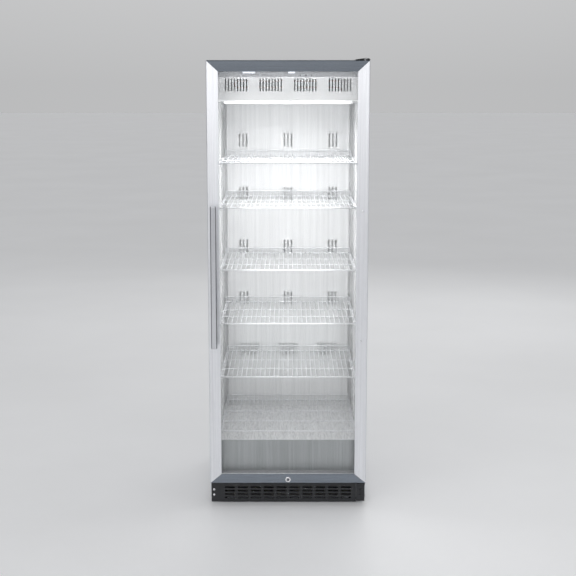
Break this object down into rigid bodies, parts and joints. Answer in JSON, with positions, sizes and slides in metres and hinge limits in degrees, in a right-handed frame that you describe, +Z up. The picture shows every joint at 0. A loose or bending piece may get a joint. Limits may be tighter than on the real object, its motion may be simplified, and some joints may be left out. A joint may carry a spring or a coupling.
{
  "type": "reach-in refrigerator",
  "caption": "Upright commercial refrigerator with one framed glass door, wire shelves, louvred kick plate and bottom-mounted cooling.",
  "frame": {"origin": "on the floor, under the middle of the overall box", "axes": "+Z up, -Y towards the door's front, +X towards the hinge side"},
  "size_m": [0.6, 0.672, 1.7],
  "materials": {
    "stainless": "brushed",
    "galvanised": "galvanised sheet, satin",
    "insulation": "rigid foam",
    "white_enamel": "semi-gloss enamel",
    "black_paint": "satin powder coat",
    "black_plastic": "moulded",
    "bright_steel": "bright plated",
    "zinc": "zinc plated",
    "white_wire": "plastic-coated wire",
    "grey_plastic": "moulded",
    "key_plastic": "moulded",
    "display": "backlit window",
    "lamp": "lit diffuser",
    "seal": "matte",
    "mount_rubber": "matte",
    "glass": "clear",
    "aluminium": "mill",
    "copper": "drawn tube"
  },
  "bodies": {
    "cabinet": {"base_pan": "galvanised", "bottom_hinge_bracket": "black_paint", "compressor": "black_paint", "compressor_mounts": "mount_rubber", "condenser": "aluminium", "condenser_fan_motor": "black_plastic", "condenser_fan_shroud": "galvanised", "control_fascia": "grey_plastic", "display_window": "display", "drain_pan": "galvanised", "duct_panel": "white_enamel", "evaporator": "aluminium", "evaporator_fan_motor": "black_plastic", "foam_core": "insulation", "front_frame": "stainless", "hinge_pins": "bright_steel", "inner_liner": "white_enamel", "kick_plate": "black_paint", "lamp_bar": "lamp", "levelling_feet": "bright_steel", "lock_keeper": "bright_steel", "pilasters": "zinc", "plenum_cover": "white_enamel", "power_inlet": "black_plastic", "rear_panel": "galvanised", "refrigerant_lines": "copper", "screws": "bright_steel", "shelf_1": "white_wire", "shelf_2": "white_wire", "shelf_3": "white_wire", "shelf_4": "white_wire", "shelf_5": "white_wire", "shelf_6": "white_wire", "shelf_clips": "zinc", "side_panel_left": "stainless", "side_panel_right": "stainless", "top_hinge_cover": "black_plastic", "top_hinge_plate": "bright_steel", "top_panel": "stainless"},
    "door": {"door_rail_top": "stainless", "door_rail_bottom": "stainless", "door_rail_left": "stainless", "door_rail_right": "stainless", "door_corner_blocks": "grey_plastic", "glazing_bead": "grey_plastic", "outer_glass": "glass", "glass_spacer": "aluminium", "inner_glass": "glass", "door_gasket": "seal", "handle_bar": "stainless", "handle_posts": "stainless", "handle_plugs": "black_plastic", "lock_housing": "bright_steel"},
    "lock": {"lock_barrel": "bright_steel", "lock_cam": "bright_steel"},
    "evaporator_fan": {"evaporator_fan_blade": "black_plastic"},
    "condenser_fan": {"condenser_fan_blade": "black_plastic"},
    "button_1": {"button_1": "key_plastic"},
    "button_2": {"button_2": "key_plastic"},
    "button_3": {"button_3": "key_plastic"}
  },
  "joints": [
    {"name": "door_hinge", "type": "hinge", "parent": "cabinet", "child": "door", "pos_m": [0.282, -0.266, 0.088], "axis": [0, 0, 1], "range_deg": [0, 110]},
    {"name": "lock_turn", "type": "hinge", "parent": "door", "child": "lock", "pos_m": [0, -0.288, 0.103], "axis": [0, -1, 0], "range_deg": [0, 90]},
    {"name": "evaporator_fan_spin", "type": "hinge", "parent": "cabinet", "child": "evaporator_fan", "pos_m": [0, -0.08, 1.593], "axis": [0, 1, 0], "continuous": true},
    {"name": "condenser_fan_spin", "type": "hinge", "parent": "cabinet", "child": "condenser_fan", "pos_m": [-0.17, 0.14, 0.105], "axis": [0, 1, 0], "continuous": true},
    {"name": "button_1_press", "type": "slide", "parent": "cabinet", "child": "button_1", "axis": [0, 1, 0], "range_m": [0, 0.001], "stiffness_N_per_m": 400, "springref_m": -0.001},
    {"name": "button_2_press", "type": "slide", "parent": "cabinet", "child": "button_2", "axis": [0, 1, 0], "range_m": [0, 0.001], "stiffness_N_per_m": 400, "springref_m": -0.001},
    {"name": "button_3_press", "type": "slide", "parent": "cabinet", "child": "button_3", "axis": [0, 1, 0], "range_m": [0, 0.001], "stiffness_N_per_m": 400, "springref_m": -0.001}
  ]
}
